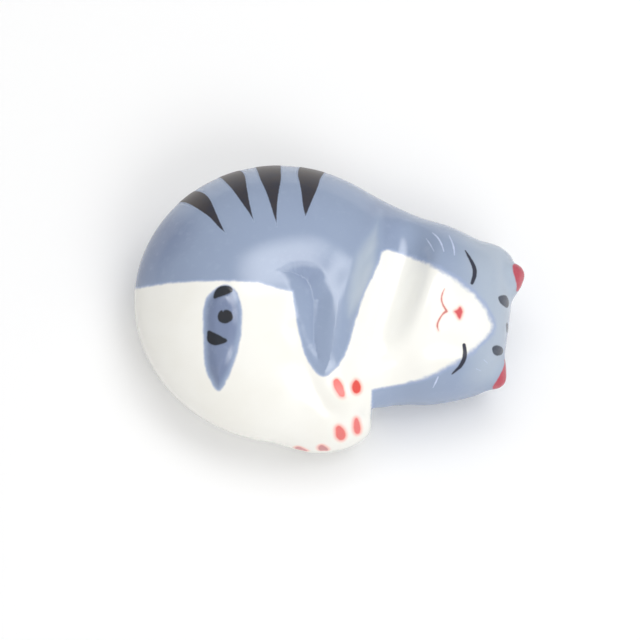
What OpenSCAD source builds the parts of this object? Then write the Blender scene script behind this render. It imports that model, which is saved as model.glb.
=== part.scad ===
// A chopstick rest in the form of a cat curled up asleep, in hand-painted porcelain.
// The forms are egg-shaped lumps of clay joined with soft blends. Every solid is laid on
// that shared form, so each piece follows the ones that carry it when a size changes.

/* [Torso] */
// Length of the torso egg along its long axis
torso_l = 46.8; // [42:0.2:52]
// Width of the torso egg across its long axis
torso_w = 45.2; // [41:0.2:50]
// Full height of the torso egg, of which the foot cuts off the bottom
torso_h = 24; // [21:0.2:28]
// Height of the torso egg's centre above the table
torso_z = 9.3; // [8.4:0.1:10.2]
// Turn of the torso's long axis, seen from above
torso_turn = -36; // [-50:1:-20]
// Place of the torso's centre along the length of the rest
torso_x = -6.8; // [-9:0.1:-5]
// Place of the torso's centre across the rest
torso_y = 0.2; // [-2:0.1:2]

/* [Haunch] */
// Length of the haunch
haunch_l = 30.4; // [26:0.2:34]
// Width of the haunch
haunch_w = 24.8; // [21:0.2:28]
// Height of the haunch
haunch_h = 22.8; // [20:0.2:25]
// Turn of the haunch, seen from above
haunch_turn = -24; // [-40:1:-10]
// Softness of the blend from the haunch to the torso
haunch_blend = 4; // [2:0.5:7]

/* [Back] */
// Length of the rounded back
back_l = 30; // [26:0.2:34]
// Width of the rounded back
back_w = 27.2; // [23:0.2:31]
// Height of the rounded back
back_h = 21.2; // [19:0.2:23]
// Turn of the back, seen from above
back_turn = -12; // [-25:1:0]
// Softness of the blend from the back to the torso
back_blend = 6; // [3:0.5:8]

/* [Neck and saddle] */
// Length of the neck
neck_l = 26; // [22:0.2:30]
// Width of the neck
neck_w = 30; // [26:0.2:33]
// Height of the neck
neck_h = 16; // [14:0.2:18]
// Softness of the blend from the neck to the head
neck_blend = 6; // [3:0.5:8]
// Width of the tool form that hollows the saddle for the chopsticks
saddle_w = 11.2; // [9:0.2:13]
// Length of that form, along the chopsticks
saddle_l = 68; // [60:1:76]
// Height of that form
saddle_h = 17.2; // [15:0.2:19]
// Height of the saddle's lowest line above the table
saddle_z = 15.2; // [14:0.1:16.4]
// Distance of the saddle's lowest line beyond the seam, towards the head
saddle_beyond = 2; // [0:0.2:3]
// Turn of the saddle, and of the seam beside it, seen from above
saddle_turn = -15; // [-20:1:-10]
// Softness of the saddle's edges
saddle_blend = 6; // [4:0.5:8]

/* [Head] */
// Length of the head from the neck to the forehead
head_l = 20; // [18:0.2:23]
// Width of the head across the cheeks
head_w = 27.6; // [25:0.2:30]
// Full height of the head egg, of which the table cuts off the bottom
head_h = 21.2; // [19:0.2:23]
// Height of the head egg's centre above the table
head_z = 9.6; // [8.8:0.1:10.4]
// Turn of the head, seen from above
head_turn = -9; // [-15:1:-3]
// Turn of the skull egg itself, seen from above
skull_turn = -14; // [-20:1:-8]
// Length of the lower cheek
cheek_l = 23.6; // [20:0.2:26]
// Width of the lower cheek
cheek_w = 10.8; // [8:0.2:13]
// Height of the lower cheek
cheek_h = 16; // [14:0.2:18]
// Thickness of the brow along the head
brow_l = 8.6; // [7:0.2:10]
// Width of the brow
brow_w = 21.6; // [18:0.2:24]
// Height of the brow
brow_h = 15.2; // [13:0.2:17]
// Softness of the blends within the head
head_blend = 4.5; // [3:0.5:6]
// Softness of the blend from the head to the torso
body_blend = 3; // [1.5:0.5:5]

/* [Ears] */
// Length of an ear, from its root to its tip
ear_l = 7.2; // [6:0.2:9]
// Width of an ear
ear_w = 6.8; // [5.4:0.2:8]
// Thickness of an ear
ear_h = 6; // [5:0.2:7]

/* [Lap] */
// Length of the hollow in the cat's lap
lap_l = 13; // [10:0.5:16]
// Width of the hollow in the lap
lap_w = 11; // [8:0.5:14]
// Depth of the hollow below the torso's crown
lap_depth = 1.4; // [0.6:0.1:2.4]
// Softness of the hollow's edge
lap_blend = 2.5; // [1.5:0.5:4]

/* [Foreleg and paws] */
// Length of the foreleg from the shoulder to the wrist
foreleg_l = 13.2; // [11.6:0.2:14.4]
// Width of the foreleg at the shoulder
foreleg_w = 10.8; // [9:0.2:11.6]
// Height of the foreleg above the belly
foreleg_h = 1.2; // [0.8:0.1:1.8]
// Length of the forepaw
forepaw_l = 8.8; // [7.8:0.2:9.8]
// Width of the forepaw
forepaw_w = 9.2; // [8.2:0.2:10]
// Height of the forepaw
forepaw_h = 8.8; // [7.8:0.2:9.8]
// Length of the hind paw
hind_paw_l = 14.8; // [13:0.2:16]
// Width of the hind paw
hind_paw_w = 7.8; // [7:0.2:8.6]
// Height of the hind paw
hind_paw_h = 10.6; // [9.4:0.2:11.6]
// Depth of the forepaw's middle below the skin of the belly
forepaw_sink = 2.7; // [2:0.1:3.4]
// Depth of the hind paw's middle below the skin of the haunch
hind_paw_sink = 2.2; // [1.6:0.1:2.8]

/* [Tail] */
// Length of the tail that lies over the haunch
tail_l = 16.3; // [13:0.1:18]
// Greatest width of the tail
tail_w = 5.8; // [4.6:0.1:7]
// Height of the tail above the haunch
tail_h = 1.2; // [0.8:0.1:1.8]
// Lean of the tail from straight across the rest
tail_lean = -3.5; // [-12:0.5:6]

/* [Shell] */
// Thickness of the cast clay shell
wall = 3.2; // [2.6:0.1:4]
// Width of the vent hole in the foot
vent_d = 3.4; // [2.6:0.2:5]

/* [Glaze and enamel] */
// Thickness of the blue glaze
glaze_t = 0.3; // [0.2:0.05:0.5]
// Thickness of the painted enamel
enamel_t = 0.2; // [0.15:0.05:0.4]
// Height of the bare foot below the edge of the blue glaze
bare_foot_h = 1.2; // [0.8:0.1:2]
// Width of a back stripe where it leaves the top of the back
stripe_w = 3.1; // [2.4:0.1:4.4]
// Width of an eye line at its thickest
eye_line_w = 0.75; // [0.5:0.05:1.1]
// Width of the mouth line
mouth_w = 0.4; // [0.3:0.05:0.6]
// Width of a whisker line
whisker_w = 0.35; // [0.25:0.05:0.5]
// Length of the nose drop
nose_l = 1.9; // [1.3:0.1:2.5]
// Length of a toe mark
toe_l = 2.1; // [1.5:0.1:2.6]
// Length of a forehead mark
forehead_l = 2.2; // [1.5:0.1:2.8]

/* [Hidden] */

// Colours of the fired clay, the glazes and the enamels
clay_colour = [0.96, 0.96, 0.94];
blue_colour = [0.62, 0.68, 0.80];
dark_colour = [0.27, 0.26, 0.27];
mark_colour = [0.33, 0.38, 0.46];
red_colour = [0.88, 0.36, 0.36];
pale_colour = [0.82, 0.87, 0.95];

// Counts of facets
body_around = 60;
body_up = 12;
body_down = 6;
head_around = 44;
head_up = 10;
head_down = 5;
core_around = 32;
core_up = 7;
core_down = 3;
stripe_steps = 16;
halvings = 13;

// One overrun serves every cut, and one small gap lies under each stroke of enamel
overrun = wall / 4;
lay_gap = glaze_t / 10;
far = torso_l * 2;

// Places as shares of the torso's sizes, measured from the torso's centre
haunch_at_share = [-0.075, -0.106, 0.037];
back_at_share = [-0.021, 0.102, 0.071];
neck_at_share = [0.284, 0.049, -0.079];
seam_at_share = [0.303, 0.062, 0];
lap_at_share = [0.094, -0.031, 0.5];
head_at_share = [0.483, -0.040];
// Places as shares of the head's sizes, measured from its centre along, across and up
cheek_at_share = [-0.042, -0.269, -0.057];
brow_at_share = [0.387, 0.03, 0];
right_ear_at_share = [0.494, 0.2, 0.113];
left_ear_at_share = [0.467, -0.264, -0.038];

// Azimuth and elevation of each paw, seen from the torso's centre
forepaw_angles = [-59, 8.3];
hind_paw_angles = [-72, -4.5];

// Outlines and paths of the painting, drawn as seen from the front at the angle of the belly.
// Those of the body are shares of the torso's length and width, from the torso's centre
belly_outline_shares = [
    [-0.8, 0.02], [-0.482, 0.051], [-0.379, 0.067], [-0.268, 0.073], [-0.163, 0.075],
    [-0.079, 0.069], [-0.018, 0.049], [0.033, 0.038], [0.265, 0.038], [0.8, 0.038], [0.8, -0.9], [-0.8, -0.9]
];
tail_at_share = [-0.197, 0.058];
// Places of the toe marks from each paw's middle, as shares of that paw's length
forepaw_toe_shares = [[-0.101, 0.026], [0.202, 0.041]];
hind_paw_toe_shares = [[0.161, -0.085], [0.322, -0.012]];
side_toe_shares = [[-0.244, -0.154], [-0.022, -0.072]];
// Length and width of each toe mark, as shares of a toe mark's length
forepaw_toe_size_shares = [[1.35, 0.65], [0.95, 0.65]];
hind_paw_toe_size_shares = [[1.1, 0.75], [1.15, 0.5]];
side_toe_size_shares = [[1.1, 0.6], [1.1, 0.6]];
// Those of the head are shares of the head's length and width, from the head's centre
face_outline_shares = [
    [-0.9, -0.5], [-0.369, -0.455], [-0.162, -0.412], [0.039, -0.351], [0.139, -0.316], [0.236, -0.27],
    [0.308, -0.212], [0.392, -0.16], [0.462, -0.08], [0.479, -0.023], [0.44, 0.034], [0.34, 0.112],
    [0.246, 0.158], [0.146, 0.198], [0.008, 0.239], [-0.11, 0.267], [-0.233, 0.289], [-0.335, 0.308],
    [-0.433, 0.333], [-0.9, 0.1]
];
right_eye_shares = [
    [0.19, 0.369], [0.224, 0.35], [0.258, 0.325], [0.28, 0.294], [0.291, 0.258], [0.288, 0.221],
    [0.272, 0.189]
];
left_eye_shares = [
    [0.274, -0.146], [0.292, -0.17], [0.3, -0.199], [0.294, -0.231], [0.277, -0.263], [0.253, -0.29],
    [0.221, -0.316]
];
mouth_shares = [
    [0.064, 0.139], [0.049, 0.115], [0.047, 0.09], [0.073, 0.057], [0.111, 0.025], [0.079, -0.009],
    [0.058, -0.039], [0.056, -0.067], [0.063, -0.091]
];
nose_width_share = 0.7;
nose_at_share = [0.197, 0.025];
forehead_size_shares = [[1.05, 0.9], [0.8, 0.7], [0.85, 0.72]];
forehead_at_shares = [[0.534, 0.122], [0.578, -0.012], [0.54, -0.15]];
right_whisker_shares = [
    [[-0.123, 0.409], [-0.097, 0.388], [-0.068, 0.362], [-0.041, 0.336]],
    [[-0.066, 0.437], [-0.032, 0.409], [0.003, 0.377], [0.034, 0.346]],
    [[0.057, 0.438], [0.077, 0.403], [0.097, 0.367], [0.113, 0.332]]
];
left_whisker_shares = [
    [[0.11, -0.344], [0.107, -0.364], [0.101, -0.385], [0.09, -0.406]],
    [[0.023, -0.367], [0.011, -0.38], [-0.001, -0.392], [-0.018, -0.405]]
];
// Widths and lifts along the tail and the foreleg, and the stations of their cross sections
tail_width_shares = [
    [0, 0.1], [0.03, 0.42], [0.067, 0.61], [0.11, 0.78], [0.19, 0.94], [0.34, 1], [0.51, 0.94],
    [0.71, 0.78], [0.81, 0.66], [0.895, 0.41], [1, 0.05]
];
tail_station_shares = [0.03, 0.067, 0.11, 0.19, 0.28, 0.38, 0.51, 0.62, 0.71, 0.81, 0.895, 0.96];
tail_lift_shares = [
    [0, 0], [0.03, 0.45], [0.07, 0.7], [0.12, 0.9], [0.2, 1], [0.8, 1], [0.9, 0.8], [0.96, 0.5], [1, 0]
];
foreleg_at_share = [0.148, 0.040];
foreleg_width_shares = [
    [0, 1], [0.2, 0.91], [0.42, 0.8], [0.6, 0.65], [0.75, 0.55], [0.88, 0.37], [0.96, 0.17], [1, 0.04]
];
foreleg_lift_shares = [[0, 0.2], [0.2, 0.5], [0.45, 0.9], [0.7, 1], [0.88, 0.75], [0.96, 0.4], [1, 0]];
foreleg_station_shares = [0.01, 0.1, 0.2, 0.31, 0.42, 0.52, 0.62, 0.72, 0.81, 0.88, 0.93, 0.97];
// The bands on the tail, as shares along it and from its middle to its edges
tail_band_shares = [
    [[0.12, -0.5], [0.055, -0.3], [0.03, 0.2], [0.045, 0.75], [0.075, 0.8], [0.1, 0.2], [0.115, -0.2]],
    [[0.3, 0.5], [0.27, 0.58], [0.25, 0.3], [0.265, -0.1], [0.3, -0.2], [0.335, -0.05], [0.345, 0.3]],
    [[0.43, -0.6], [0.53, -0.66], [0.565, -0.3], [0.555, 0.1], [0.525, 0.45], [0.48, 0.05]]
];
// Azimuth and polar angle of each stripe's tip, its azimuth down the back, and where all end
stripe_tip_angles = [[147, 40.3], [120, 34.7], [97.5, 27], [68.7, 35.2]];
stripe_turn_angles = [132.5, 112.5, 97, 78.5];
stripe_width_shares = [0.86, 0.86, 1.1, 1];
stripe_full_share = 0.45;
stripe_end_angle = 106;

function turned(v, a) = [v.x * cos(a) - v.y * sin(a), v.x * sin(a) + v.y * cos(a), v.z];
function on_torso(s) = torso_at + [s.x * torso_l, s.y * torso_w, s.z * torso_h];
function on_head(s) = head_at + turned([s.x * head_l, s.y * head_w, s.z * head_h], head_turn);
// A lump of clay as its centre, its half sizes and the turn of its long axis
function lump(at, l, w, h, turn) = [at, [l, w, h] / 2, cos(turn), sin(turn)];

torso_at = [torso_x, torso_y, torso_z];
head_at = [
    torso_x + head_at_share.x * torso_l,
    torso_y + head_at_share.y * torso_w,
    head_z
];
seam_at = on_torso(seam_at_share);
seam_out = turned([1, 0, 0], saddle_turn);
torso = lump(torso_at, torso_l, torso_w, torso_h, torso_turn);
haunch = lump(on_torso(haunch_at_share), haunch_l, haunch_w, haunch_h, haunch_turn);
back = lump(on_torso(back_at_share), back_l, back_w, back_h, back_turn);
neck = lump(on_torso(neck_at_share), neck_l, neck_w, neck_h, saddle_turn);
skull = lump(head_at, head_l, head_w, head_h, skull_turn);
cheek = lump(on_head(cheek_at_share), cheek_l, cheek_w, cheek_h, head_turn);
brow = lump(on_head(brow_at_share), brow_l, brow_w, brow_h, head_turn);
saddle_tool_at = [seam_at.x + saddle_beyond, seam_at.y, saddle_z + saddle_h / 2];
saddle_tool = lump(saddle_tool_at, saddle_w, saddle_l, saddle_h, saddle_turn);
lap_h = lap_w * 1.2;
lap_tool_at = on_torso(lap_at_share) + [0, 0, lap_h / 2 - lap_depth];
lap_tool = lump(lap_tool_at, lap_l, lap_w, lap_h, 0);
ear_splay = 30;
right_ear_lump = lump(on_head(right_ear_at_share), ear_l, ear_w, ear_h, head_turn + ear_splay);
left_ear_lump = lump(on_head(left_ear_at_share), ear_l, ear_w, ear_h, head_turn - ear_splay);

// Distance from a point to a lump's surface, below zero inside the lump
function egg(p, e) =
    let (q = p - e[0],
        u = [(q.x * e[2] + q.y * e[3]) / e[1].x, (q.y * e[2] - q.x * e[3]) / e[1].y, q.z / e[1].z],
        k = norm(u))
    k * (k - 1) / norm([u.x / e[1].x, u.y / e[1].y, u.z / e[1].z]);
function join(a, b, soft) = min(a, b) - pow(max(soft - abs(a - b), 0), 2) / (4 * soft);
function carve(a, b, soft) = -join(-a, b, soft);

// The clay without its raised limbs: trunk and head, with the lap and the saddle hollowed
function trunk(p) =
    carve(join(join(egg(p, torso), egg(p, haunch), haunch_blend), egg(p, back), back_blend),
        egg(p, lap_tool), lap_blend);
function whole_head(p) =
    join(join(join(egg(p, skull), egg(p, cheek), head_blend), egg(p, brow), head_blend),
        egg(p, neck), neck_blend);
clay = function(p) carve(join(trunk(p), whole_head(p), body_blend), egg(p, saddle_tool), saddle_blend);

// Distance along a ray at which a form falls to the given level, found by halving
function halve(form, level, o, w, near, last, n, inward) =
    let (mid = (near + last) / 2)
    n == 0 ? mid
    : (form(o + mid * w) < level) == inward
        ? halve(form, level, o, w, near, mid, n - 1, inward)
        : halve(form, level, o, w, mid, last, n - 1, inward);

// The place at the given depth below the skin, at the given angles from the torso's centre
function below_skin(angles, depth) =
    let (w = [cos(angles[1]) * cos(angles[0]), cos(angles[1]) * sin(angles[0]), sin(angles[1])])
    torso_at + w * halve(clay, -depth, torso_at, w, 0, torso_l, halvings, false);

forepaw_lump = lump(below_skin(forepaw_angles, forepaw_sink), forepaw_l, forepaw_w, forepaw_h, 0);
hind_paw_turn = 6;
hind_paw_lump =
    lump(below_skin(hind_paw_angles, hind_paw_sink), hind_paw_l, hind_paw_w, hind_paw_h, hind_paw_turn);
forepaw_form = function(p) egg(p, forepaw_lump);
hind_paw_form = function(p) egg(p, hind_paw_lump);
right_ear_form = function(p) egg(p, right_ear_lump);
left_ear_form = function(p) egg(p, left_ear_lump);
with_forepaw = function(p) min(clay(p), forepaw_form(p));
with_paws = function(p) min(with_forepaw(p), hind_paw_form(p));

// A way of looking at the clay: a point inside it, the drawing's two directions and the way out
function outlook(at, azimuth, elevation, spin) =
    let (out = [cos(elevation) * cos(azimuth), cos(elevation) * sin(azimuth), sin(elevation)],
        level = [-sin(azimuth), cos(azimuth), 0],
        rise = cross(out, level))
    [at, level * cos(spin) + rise * sin(spin), rise * cos(spin) - level * sin(spin), out];
// Where a place of a drawing falls on a form, and where a point of the form falls in the drawing
function seat(view, p, form, level) =
    let (o = view[0] + p.x * view[1] + p.y * view[2] + torso_h * view[3])
    o - view[3] * halve(form, level, o, -view[3], 0, torso_h * 1.3, halvings, true);
function drawn_in(view, p) = [(p - view[0]) * view[1], (p - view[0]) * view[2]];
function mean(v) = [for (i = [0:len(v[0]) - 1]) [for (p = v) p[i]] * [for (p = v) 1] / len(v)];
function oval(at, l, w, lean, n) =
    [for (j = [0:n - 1]) let (a = 360 * j / n, x = cos(a) * w / 2, y = sin(a) * l / 2)
        at + [x * cos(lean) - y * sin(lean), x * sin(lean) + y * cos(lean)]];

module on_view(view) {
    multmatrix([for (i = [0:2]) [view[1][i], view[2][i], view[3][i], view[0][i]]]) children();
}

// The outlooks in which the pieces and the painting are drawn
look_tilt = 65;
foreleg_lean = -4;
body_view = outlook(torso_at, -90, look_tilt, 0);
face_view = outlook(head_at, -90, look_tilt, -8.2);
crown_view = outlook(head_at, head_turn, 45, 0);
tail_root = seat(body_view, [tail_at_share.x * torso_l, tail_at_share.y * torso_w], clay, 0);
tail_view = outlook(tail_root - torso_h / 4 * body_view[3], -90, look_tilt, tail_lean);
foreleg_root = seat(body_view, [foreleg_at_share.x * torso_l, foreleg_at_share.y * torso_w], clay, 0);
foreleg_view = outlook(foreleg_root - torso_h / 4 * body_view[3], -90, look_tilt, foreleg_lean);
forepaw_view = outlook(forepaw_lump[0], -75, 50, 0);
hind_paw_view = outlook(hind_paw_lump[0], -80, -5, 0);
forepaw_toe_view = outlook(forepaw_lump[0], -90, look_tilt, 0);
hind_paw_toe_view = outlook(hind_paw_lump[0], -90, look_tilt, 0);
side_toe_view = outlook(hind_paw_lump[0], -90, 12, 0);
right_ear_view = outlook(right_ear_lump[0], head_turn + ear_splay, 20, 0);
left_ear_view = outlook(left_ear_lump[0], head_turn - ear_splay, 10, 0);

// A closed solid through rings that hold the same count of points, between two end points
module ring_solid(first, rings, last) {
    n = len(rings[0]);
    m = len(rings);
    end = n * m + 1;
    polyhedron(
        concat([first], [for (r = rings) each r], [last]),
        concat(
            [for (j = [0:n - 1]) [0, 1 + (j + 1) % n, 1 + j]],
            [for (i = [0:m - 2], j = [0:n - 1])
                let (a = 1 + i * n + j, b = 1 + i * n + (j + 1) % n)
                each [[a, b, b + n], [a, b + n, a + n]]],
            [for (j = [0:n - 1]) [end, 1 + (m - 1) * n + j, 1 + (m - 1) * n + (j + 1) % n]]
        )
    );
}

// The solid between a raised form and what it rises from, which is a form at the given level
module raised(view, form, base, level, around, steps, furthest) {
    function place(a, r) = [r * cos(a), r * sin(a)];
    function rim(a, near, last, n) =
        let (mid = (near + last) / 2)
        n == 0 ? mid
        : form(seat(view, place(a, mid), base, level)) < 0
            ? rim(a, mid, last, n - 1)
            : rim(a, near, mid, n - 1);
    edge = [for (j = [0:around - 1]) rim(360 * j / around, 0, furthest, halvings)];
    function ring(t, f, lift) =
        [for (j = [0:around - 1]) seat(view, place(360 * j / around, edge[j] * t), f, lift)];
    ring_solid(
        seat(view, [0, 0], form, 0),
        [for (i = [1:steps - 1]) ring(sin(90 * i / steps), form, 0),
            for (i = [0:steps - 1]) ring(1 - i / steps, base, level)],
        seat(view, [0, 0], base, level)
    );
}

// A dab of enamel with the given outline, laid on a form at the given level
module dab(view, outline, form, level) {
    middle = mean(outline);
    function ring(t, lift) = [for (p = outline) seat(view, middle + (p - middle) * t, form, level + lift)];
    ring_solid(
        seat(view, middle, form, level + enamel_t),
        [ring(0.6, enamel_t), ring(1, enamel_t), ring(1, 0)],
        seat(view, middle, form, level)
    );
}

// A brush line along a path, with its width at each place, which is nothing at the two ends
module brush_line(view, path, widths, form, level) {
    last = len(path) - 1;
    function aside(i) =
        let (d = path[i + 1] - path[i - 1]) [-d.y, d.x] * widths[i] / (2 * norm(d));
    ring_solid(
        seat(view, path[0], form, level),
        [for (i = [1:last - 1])
            [seat(view, path[i] + aside(i), form, level + enamel_t),
                seat(view, path[i] + aside(i), form, level),
                seat(view, path[i] - aside(i), form, level),
                seat(view, path[i] - aside(i), form, level + enamel_t)]],
        seat(view, path[last], form, level)
    );
}

module under_foot() {
    translate([-far, -far, bare_foot_h - far * 2]) cube(far * 2);
}

// A solid seen from its own upright axis: rays fan out above mid height, and lie level below it.
// Side is 1 for the clay on the body's side of the seam, and -1 for the clay on the head's side
module egg_shell(axis, side, level, foot, around, up, down, over) {
    function span(o, w) =
        let (toward = side * (w * seam_out), room = side * ((seam_at - o) * seam_out))
        toward * far > room ? room / toward + over : far;
    function skin_point(o, w) = o + w * halve(clay, level, o, w, 0, span(o, w), halvings, false);
    rings = [
        for (i = [1:up]) [for (j = [0:around - 1])
            let (t = 90 * i / up, a = 360 * j / around)
            skin_point(axis, [sin(t) * cos(a), sin(t) * sin(a), cos(t)])],
        for (i = [1:down]) [for (j = [0:around - 1])
            let (z = axis.z + (foot - axis.z) * i / down, a = 360 * j / around)
            skin_point([axis.x, axis.y, z], [cos(a), sin(a), 0])]
    ];
    ring_solid(skin_point(axis, [0, 0, 1]), rings, [axis.x, axis.y, foot]);
}

module body_form(level, foot, over) {
    egg_shell(torso_at, 1, level, foot, body_around, body_up, body_down, over);
}

module head_form(level, foot, over) {
    egg_shell(head_at, -1, level, foot, head_around, head_up, head_down, over);
}

// All that lies past the seam: on the head's side for 1, on the body's side for -1
module past_seam(side) {
    translate([seam_at.x, seam_at.y, 0]) rotate([0, 0, saddle_turn + (1 - side) * 90])
        translate([0, -far, -far]) cube(far * 2);
}

module body() {
    vent_at = torso_at + [-torso_l * 0.2, 0, 0];
    color(clay_colour) difference() {
        body_form(0, 0, overrun);
        egg_shell(torso_at, 1, -wall, wall, core_around, core_up, core_down, overrun / 2);
        past_seam(1);
        translate([vent_at.x, vent_at.y, -overrun]) cylinder(d = vent_d, h = wall + overrun * 2, $fn = 32);
    }
}

module head() {
    color(clay_colour) difference() {
        head_form(0, 0, overrun);
        egg_shell(head_at, -1, -wall, wall, core_around, core_up, core_down, overrun / 2);
        past_seam(-1);
    }
}

// The coat of glaze on the head, down to the bare foot
module head_coat() {
    difference() {
        head_form(glaze_t, 0, overrun * 1.5);
        head_form(0, 0, overrun);
        past_seam(-1);
        under_foot();
    }
}

// The white of the face, as a block that stands on the middle of the head
module face_block() {
    on_view(face_view) linear_extrude(head_h)
        polygon([for (s = face_outline_shares) [s.x * head_l, s.y * head_w]]);
}

module back_glaze() {
    color(blue_colour) difference() {
        body_form(glaze_t, 0, overrun * 1.5);
        body_form(0, 0, overrun);
        past_seam(1);
        under_foot();
        on_view(body_view) translate([0, 0, -far]) linear_extrude(far * 2)
            polygon([for (s = belly_outline_shares) [s.x * torso_l, s.y * torso_w]]);
    }
}

module head_glaze() {
    color(blue_colour) difference() {
        head_coat();
        face_block();
    }
}

module face_glaze() {
    color(clay_colour) intersection() {
        head_coat();
        face_block();
    }
}

module right_ear() {
    color(blue_colour)
        raised(right_ear_view, right_ear_form, clay, glaze_t, 18, 5, ear_w);
}

module left_ear() {
    color(blue_colour)
        raised(left_ear_view, left_ear_form, clay, glaze_t, 18, 5, ear_w);
}

module foreleg() {
    color(blue_colour)
        tongue(foreleg_view, [foreleg_w, foreleg_l, foreleg_h], foreleg_width_shares, foreleg_lift_shares,
            foreleg_station_shares);
}

module forepaw() {
    color(clay_colour)
        raised(forepaw_view, forepaw_form, clay, 0, 24, 6, forepaw_l);
}

module hind_paw() {
    color(clay_colour)
        raised(hind_paw_view, hind_paw_form, with_forepaw, 0, 26, 6, hind_paw_l);
}

// A place on a tongue of clay: the first share runs along it, the second from edge to edge
function tongue_spot(view, size, widths, lifts, along, across, lift) =
    seat(view, [across * size.x / 2 * lookup(along, widths), -along * size.y], clay,
        size.z * lookup(along, lifts) * sqrt(max(0, 1 - across * across)) + lift);

// A tongue of clay that lies on the body, rounded across its width
module tongue(view, size, widths, lifts, stations) {
    arc = [for (j = [0:8]) -cos(180 * j / 8)];
    function under(s, t) = seat(view, [t * size.x / 2 * lookup(s, widths), -s * size.y], clay, 0);
    ring_solid(
        under(0, 0),
        [for (s = stations) concat(
            [for (t = arc) tongue_spot(view, size, widths, lifts, s, t, 0)],
            [for (t = [0.5, 0, -0.5]) under(s, t)]
        )],
        under(1, 0)
    );
}

function tail_spot(along, across, lift) =
    tongue_spot(
        tail_view, [tail_w, tail_l, tail_h], tail_width_shares, tail_lift_shares, along, across, lift
    );

module tail() {
    color(blue_colour)
        tongue(tail_view, [tail_w, tail_l, tail_h], tail_width_shares, tail_lift_shares,
            tail_station_shares);
}

module tail_band(i) {
    outline = tail_band_shares[i];
    middle = mean(outline);
    function ring(t, lift) = [for (p = outline)
        let (q = middle + (p - middle) * t) tail_spot(q.x, q.y, lift)];
    color(dark_colour) ring_solid(
        tail_spot(middle.x, middle.y, lay_gap + enamel_t),
        [ring(0.5, lay_gap + enamel_t), ring(1, lay_gap + enamel_t), ring(1, lay_gap), ring(0.5, lay_gap)],
        tail_spot(middle.x, middle.y, lay_gap)
    );
}

module back_stripe(i) {
    from = stripe_tip_angles[i];
    to = stripe_turn_angles[i];
    lay = glaze_t + lay_gap;
    function spot(s, across, lift) =
        let (turn = from[0] + (to - from[0]) * min(1, s * 2),
            polar = from[1] + (stripe_end_angle - from[1]) * s,
            width = stripe_w * stripe_width_shares[i] * min(1, s / stripe_full_share),
            half_turn = across * width / (torso_w * 0.9 * sin(polar)) * (180 / PI),
            a = turn + half_turn,
            w = [sin(polar) * cos(a), sin(polar) * sin(a), cos(polar)])
        torso_at + w * halve(clay, lay + lift, torso_at, w, 0, torso_l, halvings, false);
    color(dark_colour) ring_solid(
        spot(0, 0, 0),
        [for (i = [1:stripe_steps]) let (s = i / stripe_steps)
            [spot(s, 1, enamel_t), spot(s, 1, 0), spot(s, 0, 0), spot(s, -1, 0), spot(s, -1, enamel_t),
                spot(s, 0, enamel_t)]],
        spot(1, 0, enamel_t / 2)
    );
}

module face_line(path_shares, widths) {
    brush_line(face_view, [for (s = path_shares) [s.x * head_l, s.y * head_w]], widths, clay,
        glaze_t + lay_gap);
}

module right_eye_line() {
    color(dark_colour) face_line(right_eye_shares, eye_line_w * [0, 0.6, 0.8, 1, 1, 0.7, 0]);
}

module left_eye_line() {
    color(dark_colour) face_line(left_eye_shares, eye_line_w * [0, 0.8, 1, 1, 0.8, 0.5, 0]);
}

module mouth_line() {
    color(red_colour) face_line(mouth_shares, mouth_w * [0, 0.9, 1, 1, 1, 1, 1, 0.9, 0]);
}

module nose() {
    at = [nose_at_share.x * head_l, nose_at_share.y * head_w];
    color(red_colour)
        dab(face_view, oval(at, nose_l, nose_l * nose_width_share, -8, 12), clay, glaze_t + lay_gap);
}

module forehead_mark(i) {
    at = [forehead_at_shares[i].x * head_l, forehead_at_shares[i].y * head_w];
    on_crown = drawn_in(crown_view, seat(face_view, at, clay, glaze_t));
    size = forehead_l * forehead_size_shares[i];
    color(mark_colour)
        dab(crown_view, oval(on_crown, size.x, size.y, 0, 12), clay, glaze_t + lay_gap);
}

module ear_enamel(view, form) {
    color(red_colour)
        dab(view, oval([0, ear_h * 0.1], ear_h * 0.55, ear_w * 0.6, 0, 14), form, lay_gap);
}

module whiskers(paths) {
    color(pale_colour) for (path = paths) face_line(path, whisker_w * [0, 1, 1, 0]);
}

module toes(view, paw_l, places, sizes, leans) {
    color(red_colour) for (i = [0:len(places) - 1])
        dab(view, oval(places[i] * paw_l, toe_l * sizes[i].x, toe_l * sizes[i].y, leans[i], 12),
            with_paws, lay_gap);
}

body();
head();
right_ear();
left_ear();
foreleg();
forepaw();
hind_paw();
tail();
back_glaze();
head_glaze();
face_glaze();
for (i = [0:3]) back_stripe(i);
for (i = [0:2]) tail_band(i);
right_eye_line();
left_eye_line();
nose();
mouth_line();
for (i = [0:2]) forehead_mark(i);
ear_enamel(right_ear_view, right_ear_form);  // right_ear_enamel
ear_enamel(left_ear_view, left_ear_form);  // left_ear_enamel
whiskers(right_whisker_shares);  // right_whiskers
whiskers(left_whisker_shares);  // left_whiskers
toes(forepaw_toe_view, forepaw_l, forepaw_toe_shares, forepaw_toe_size_shares, [24, 0]);  // forepaw_toes
toes(hind_paw_toe_view, hind_paw_l, hind_paw_toe_shares, hind_paw_toe_size_shares, [14, 6]);  // hind_paw_toes
toes(side_toe_view, hind_paw_l, side_toe_shares, side_toe_size_shares, [60, 50]);  // side_paw_toes
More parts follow.
